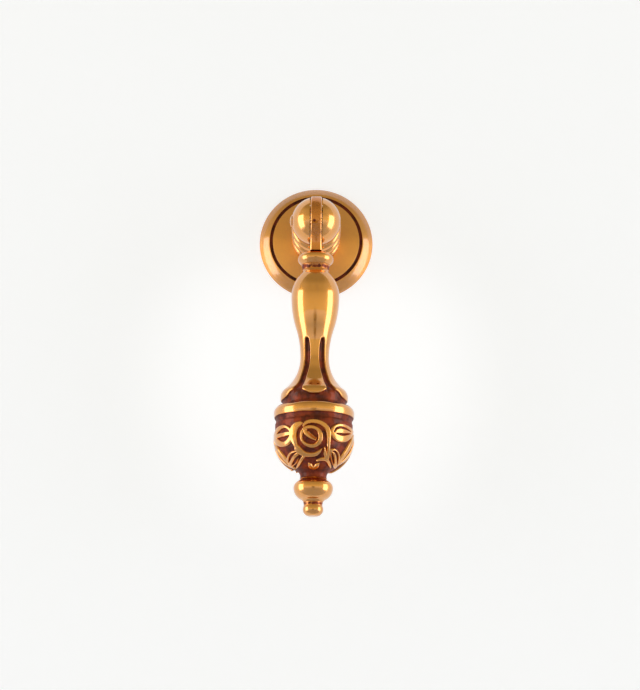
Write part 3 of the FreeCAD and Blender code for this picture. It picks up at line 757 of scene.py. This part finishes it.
shade_links.new(distance_from(shade_place, shade_nodes, shade_links), soft_edge.inputs["Value"])
shade_ray = shade_nodes.new("ShaderNodeLightPath")
shade_share = shade_nodes.new("ShaderNodeMath")
shade_share.operation = "MULTIPLY"
shade_links.new(shade_ray.outputs["Is Glossy Ray"], shade_share.inputs[0])
shade_links.new(soft_edge.outputs["Result"], shade_share.inputs[1])
unseen = shade_nodes.new("ShaderNodeBsdfTransparent")
shade_or_clear = shade_nodes.new("ShaderNodeMixShader")
shade_links.new(shade_share.outputs[0], shade_or_clear.inputs[0])
shade_links.new(unseen.outputs[0], shade_or_clear.inputs[1])
shade_links.new(shade_surface.outputs[0], shade_or_clear.inputs[2])
shade_links.new(shade_or_clear.outputs[0], shade_nodes["Material Output"].inputs["Surface"])
shade_mesh.materials.append(shade_material)
camera_shade = bpy.data.objects.new("camera_shade", shade_mesh)
bpy.context.scene.collection.objects.link(camera_shade)

# Room: the light that comes from all round, in warm levels from straight below to straight above, with a
# little more from both sides. The camera itself looks past the stage into plain white.
room_levels = [(0.0, 0.7), (0.5, 0.74), (0.59, 0.68), (0.65, 0.5), (0.81, 0.52), (0.9, 0.36), (1.0, 0.36)]
room_tint = (1, 0.91, 0.5)
side_start = 0.45
side_end = 0.9
side_level = 0.12
plain_backdrop = (1, 1, 1, 1)
world = bpy.data.worlds.new("studio")
bpy.context.scene.world = world
world.use_nodes = True
room_nodes, room_links = world.node_tree.nodes, world.node_tree.links
direction = room_nodes.new("ShaderNodeTexCoord")
direction_parts = room_nodes.new("ShaderNodeSeparateXYZ")
room_links.new(direction.outputs["Generated"], direction_parts.inputs[0])
height_share = room_nodes.new("ShaderNodeMapRange")
height_share.inputs["From Min"].default_value = -1
room_links.new(direction_parts.outputs["Z"], height_share.inputs["Value"])
height_light = room_nodes.new("ShaderNodeValToRGB")
room_stops = [(place, tinted((level,) * 3, room_tint)) for place, level in room_levels]
set_stops(height_light.color_ramp, room_stops)
room_links.new(height_share.outputs["Result"], height_light.inputs["Fac"])
sideways = room_nodes.new("ShaderNodeMath")
sideways.operation = "ABSOLUTE"
room_links.new(direction_parts.outputs["X"], sideways.inputs[0])
side_light = room_nodes.new("ShaderNodeMapRange")
side_light.interpolation_type = "SMOOTHSTEP"
side_light.inputs["From Min"].default_value = side_start
side_light.inputs["From Max"].default_value = side_end
side_light.inputs["To Max"].default_value = side_level
room_links.new(sideways.outputs[0], side_light.inputs["Value"])
all_light = room_nodes.new("ShaderNodeVectorMath")
room_links.new(height_light.outputs["Color"], all_light.inputs[0])
room_links.new(side_light.outputs["Result"], all_light.inputs[1])
room = room_nodes["Background"]
room_links.new(all_light.outputs[0], room.inputs["Color"])
backdrop = room_nodes.new("ShaderNodeBackground")
backdrop.inputs["Color"].default_value = plain_backdrop
room_ray = room_nodes.new("ShaderNodeLightPath")
room_or_white = room_nodes.new("ShaderNodeMixShader")
room_links.new(room_ray.outputs["Is Camera Ray"], room_or_white.inputs[0])
room_links.new(room.outputs[0], room_or_white.inputs[1])
room_links.new(backdrop.outputs[0], room_or_white.inputs[2])
room_links.new(room_or_white.outputs[0], room_nodes["World Output"].inputs["Surface"])

# Softboxes: two tall lamps, left and right of the viewer and well out to the sides, that face the pull and
# draw the bright lines down both flanks of the metal.
softbox_width = 0.32
softbox_height = 0.6
softbox_distance = 0.6
softbox_radiance = 2.1
softbox_lift = math.radians(-4)
softbox_target = Vector((0, 0, -0.03))
for name, azimuth in (("softbox_left", -75), ("softbox_right", 75)):
    lamp = bpy.data.lights.new(name, "AREA")
    lamp.shape = "RECTANGLE"
    lamp.size = softbox_width
    lamp.size_y = softbox_height
    lamp.energy = softbox_radiance * math.pi * softbox_width * softbox_height
    turn = math.radians(azimuth)
    outwards = Vector((
        math.sin(turn) * math.cos(softbox_lift),
        -math.cos(turn) * math.cos(softbox_lift),
        math.sin(softbox_lift),
    ))
    softbox = bpy.data.objects.new(name, lamp)
    softbox.location = softbox_target + outwards * softbox_distance
    softbox.rotation_euler = outwards.to_track_quat("Z", "Y").to_euler()
    bpy.context.scene.collection.objects.link(softbox)

# Camera: straight in front of the pull and below it, looking up by about 14 degrees through a long lens. Its
# place, lens and angles were fitted to the pull's outlines in the photo.
camera_lens = 133.23
camera_sensor = 36
camera_place = (1.23 * MM, -610.13 * MM, -174.36 * MM)
camera_lift = math.radians(13.706)
camera_roll = math.radians(0.61)
camera_data = bpy.data.cameras.new("camera")
camera_data.lens = camera_lens
camera_data.sensor_width = camera_sensor
camera = bpy.data.objects.new("camera", camera_data)
camera.matrix_world = (
    Matrix.Translation(camera_place)
    @ Matrix.Rotation(math.radians(90) + camera_lift, 4, "X")
    @ Matrix.Rotation(camera_roll, 4, "Z")
)
bpy.context.scene.collection.objects.link(camera)
bpy.context.scene.camera = camera
bpy.context.scene.view_settings.view_transform = "Standard"
